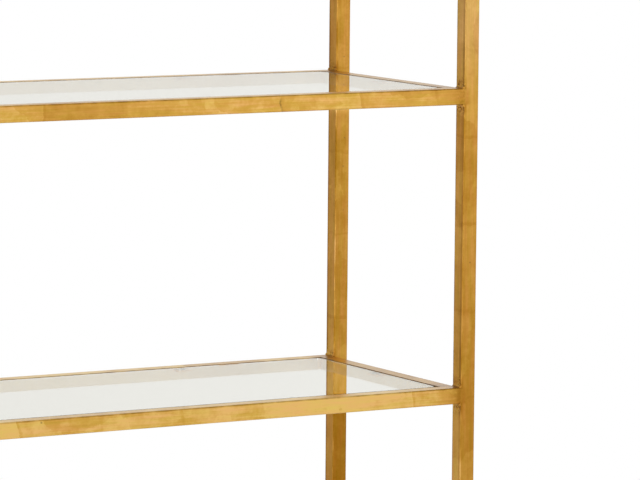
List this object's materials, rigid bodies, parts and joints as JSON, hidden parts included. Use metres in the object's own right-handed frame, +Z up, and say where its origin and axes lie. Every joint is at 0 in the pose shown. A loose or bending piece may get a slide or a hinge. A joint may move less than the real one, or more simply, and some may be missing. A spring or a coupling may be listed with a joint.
{
  "type": "etagere",
  "caption": "Tall open etagere: gold-leafed square-tube frame welded at its joints, with loose clear glass panes set flush in the shelf frames and screw-adjusted feet.",
  "frame": {"origin": "on the floor under the feet, at the centre of the plan", "axes": "+Z up along the posts, +Y from the front to the back, +X along the shelves to the right as seen from the front"},
  "size_m": [1.118, 0.419, 2],
  "materials": {
    "gold_leaf": "satin",
    "clear_glass": "polished",
    "clear_bumper": "satin",
    "zinc_steel": "satin",
    "black_nylon": "matte"
  },
  "bodies": {
    "frame": {"post_front_left": "gold_leaf", "post_cap_front_left": "gold_leaf", "threaded_insert_front_left": "black_nylon", "post_front_right": "gold_leaf", "post_cap_front_right": "gold_leaf", "threaded_insert_front_right": "black_nylon", "post_back_left": "gold_leaf", "post_cap_back_left": "gold_leaf", "threaded_insert_back_left": "black_nylon", "post_back_right": "gold_leaf", "post_cap_back_right": "gold_leaf", "threaded_insert_back_right": "black_nylon", "shelf_1_front_rail": "gold_leaf", "shelf_1_back_rail": "gold_leaf", "shelf_1_left_rail": "gold_leaf", "shelf_1_right_rail": "gold_leaf", "shelf_1_welds": "gold_leaf", "shelf_1_glass_tabs": "gold_leaf", "shelf_2_front_rail": "gold_leaf", "shelf_2_back_rail": "gold_leaf", "shelf_2_left_rail": "gold_leaf", "shelf_2_right_rail": "gold_leaf", "shelf_2_welds": "gold_leaf", "shelf_2_glass_tabs": "gold_leaf", "shelf_3_front_rail": "gold_leaf", "shelf_3_back_rail": "gold_leaf", "shelf_3_left_rail": "gold_leaf", "shelf_3_right_rail": "gold_leaf", "shelf_3_welds": "gold_leaf", "shelf_3_glass_tabs": "gold_leaf", "shelf_4_front_rail": "gold_leaf", "shelf_4_back_rail": "gold_leaf", "shelf_4_left_rail": "gold_leaf", "shelf_4_right_rail": "gold_leaf", "shelf_4_welds": "gold_leaf", "shelf_4_glass_tabs": "gold_leaf", "shelf_5_front_rail": "gold_leaf", "shelf_5_back_rail": "gold_leaf", "shelf_5_left_rail": "gold_leaf", "shelf_5_right_rail": "gold_leaf", "shelf_5_welds": "gold_leaf", "shelf_5_glass_tabs": "gold_leaf", "glass_bumpers": "clear_bumper"},
    "pane_1": {"shelf_1_glass": "clear_glass"},
    "pane_2": {"shelf_2_glass": "clear_glass"},
    "pane_3": {"shelf_3_glass": "clear_glass"},
    "pane_4": {"shelf_4_glass": "clear_glass"},
    "pane_5": {"shelf_5_glass": "clear_glass"},
    "foot_pad_front_left": {"leveller_pad_front_left": "black_nylon"},
    "foot_stem_front_left": {"leveller_stem_front_left": "zinc_steel"},
    "foot_pad_front_right": {"leveller_pad_front_right": "black_nylon"},
    "foot_stem_front_right": {"leveller_stem_front_right": "zinc_steel"},
    "foot_pad_back_left": {"leveller_pad_back_left": "black_nylon"},
    "foot_stem_back_left": {"leveller_stem_back_left": "zinc_steel"},
    "foot_pad_back_right": {"leveller_pad_back_right": "black_nylon"},
    "foot_stem_back_right": {"leveller_stem_back_right": "zinc_steel"}
  },
  "joints": [
    {"name": "pane_1_lift", "type": "slide", "parent": "frame", "child": "pane_1", "axis": [0, 0, 1], "range_m": [0, 0.15]},
    {"name": "pane_2_lift", "type": "slide", "parent": "frame", "child": "pane_2", "axis": [0, 0, 1], "range_m": [0, 0.15]},
    {"name": "pane_3_lift", "type": "slide", "parent": "frame", "child": "pane_3", "axis": [0, 0, 1], "range_m": [0, 0.15]},
    {"name": "pane_4_lift", "type": "slide", "parent": "frame", "child": "pane_4", "axis": [0, 0, 1], "range_m": [0, 0.15]},
    {"name": "pane_5_lift", "type": "slide", "parent": "frame", "child": "pane_5", "axis": [0, 0, 1], "range_m": [0, 0.15]},
    {"name": "foot_travel_front_left", "type": "slide", "parent": "frame", "child": "foot_pad_front_left", "axis": [0, 0, -1], "range_m": [0, 0.012]},
    {"name": "foot_turn_front_left", "type": "hinge", "parent": "foot_pad_front_left", "child": "foot_stem_front_left", "pos_m": [-0.5463, -0.1968, 0.006], "axis": [0, 0, 1], "range_deg": [0, 3456]},
    {"name": "foot_travel_front_right", "type": "slide", "parent": "frame", "child": "foot_pad_front_right", "axis": [0, 0, -1], "range_m": [0, 0.012]},
    {"name": "foot_turn_front_right", "type": "hinge", "parent": "foot_pad_front_right", "child": "foot_stem_front_right", "pos_m": [0.5463, -0.1968, 0.006], "axis": [0, 0, 1], "range_deg": [0, 3456]},
    {"name": "foot_travel_back_left", "type": "slide", "parent": "frame", "child": "foot_pad_back_left", "axis": [0, 0, -1], "range_m": [0, 0.012]},
    {"name": "foot_turn_back_left", "type": "hinge", "parent": "foot_pad_back_left", "child": "foot_stem_back_left", "pos_m": [-0.5463, 0.1968, 0.006], "axis": [0, 0, 1], "range_deg": [0, 3456]},
    {"name": "foot_travel_back_right", "type": "slide", "parent": "frame", "child": "foot_pad_back_right", "axis": [0, 0, -1], "range_m": [0, 0.012]},
    {"name": "foot_turn_back_right", "type": "hinge", "parent": "foot_pad_back_right", "child": "foot_stem_back_right", "pos_m": [0.5463, 0.1968, 0.006], "axis": [0, 0, 1], "range_deg": [0, 3456]}
  ],
  "couplings": [
    {"joint": "foot_turn_front_left", "follows": "foot_travel_front_left", "rad_per_m": 5026.5},
    {"joint": "foot_turn_front_right", "follows": "foot_travel_front_right", "rad_per_m": 5026.5},
    {"joint": "foot_turn_back_left", "follows": "foot_travel_back_left", "rad_per_m": 5026.5},
    {"joint": "foot_turn_back_right", "follows": "foot_travel_back_right", "rad_per_m": 5026.5}
  ]
}
